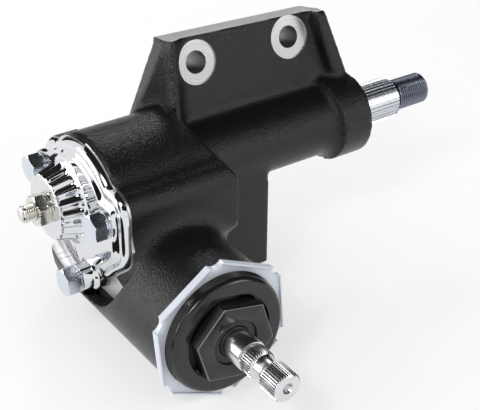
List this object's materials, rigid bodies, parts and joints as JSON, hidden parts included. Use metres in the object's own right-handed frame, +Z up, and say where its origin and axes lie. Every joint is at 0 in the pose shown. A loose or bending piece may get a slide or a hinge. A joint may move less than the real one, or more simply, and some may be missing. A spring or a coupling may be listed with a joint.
{
  "type": "manual steering gearbox",
  "caption": "Recirculating-ball steering gearbox: splined worm input, ball nut and toothed sector output shaft in a flanged housing that bolts to a frame.",
  "frame": {"origin": "centre of the left upper frame-bolt hole, on the machined mounting face", "axes": "+X along the sector shaft to its splined output end, -Y along the worm to its splined input end, +Z up"},
  "size_m": [0.2775, 0.2056, 0.1473],
  "materials": {
    "housing_black": "semi-gloss black paint on a sand casting",
    "cover_chrome": "polished",
    "gasket": "matt fibre sheet",
    "zinc": "bright zinc",
    "stud_steel": "plain steel",
    "steel": "machined",
    "shaft_steel": "ground",
    "bronze": "plain bearing bronze",
    "seal_rubber": "matt",
    "ball_steel": "polished",
    "black_oxide": "black oxide"
  },
  "bodies": {
    "housing": {"gear_housing": "housing_black", "side_cover": "cover_chrome", "cover_gasket": "gasket", "cover_bolts": "zinc", "cover_washers": "zinc", "lash_screw": "stud_steel", "lash_lock_nut": "stud_steel", "lash_shim": "steel", "housing_bushes": "bronze", "cover_bush": "bronze", "sector_seal": "seal_rubber", "upper_cup": "steel", "lower_cup": "steel", "adjuster_plug": "black_oxide", "lock_ring": "zinc", "worm_seal": "seal_rubber"},
    "sector": {"sector_shaft": "shaft_steel"},
    "worm": {"worm_shaft": "shaft_steel"},
    "nut": {"ball_nut": "steel", "nut_balls": "ball_steel", "ball_guides": "steel", "guide_clamp": "steel", "clamp_screws": "steel"},
    "upper_rolling": {"upper_balls": "ball_steel", "upper_cage": "bronze"},
    "lower_rolling": {"lower_balls": "ball_steel", "lower_cage": "bronze"}
  },
  "joints": [
    {"name": "worm_spin", "type": "hinge", "parent": "housing", "child": "worm", "pos_m": [-0.0584, -0.03416, -0.08444], "axis": [0, 1, 0], "range_deg": [-576, 576]},
    {"name": "sector_swing", "type": "hinge", "parent": "housing", "child": "sector", "pos_m": [-0.0584, -0.03416, -0.04634], "axis": [1, 0, 0], "range_deg": [-36.1, 36.1]},
    {"name": "nut_slide", "type": "slide", "parent": "housing", "child": "nut", "axis": [0, 1, 0], "range_m": [-0.01256, 0.01256]},
    {"name": "upper_roll", "type": "hinge", "parent": "housing", "child": "upper_rolling", "pos_m": [-0.0584, -0.10416, -0.08444], "axis": [0, 1, 0], "range_deg": [-289, 289]},
    {"name": "lower_roll", "type": "hinge", "parent": "housing", "child": "lower_rolling", "pos_m": [-0.0584, 0.00684, -0.08444], "axis": [0, 1, 0], "range_deg": [-289, 289]}
  ],
  "couplings": [
    {"joint": "worm_spin", "follows": "nut_slide", "rad_per_m": -800},
    {"joint": "sector_swing", "follows": "nut_slide", "rad_per_m": 50},
    {"joint": "upper_roll", "follows": "nut_slide", "rad_per_m": -400},
    {"joint": "lower_roll", "follows": "nut_slide", "rad_per_m": -400}
  ]
}
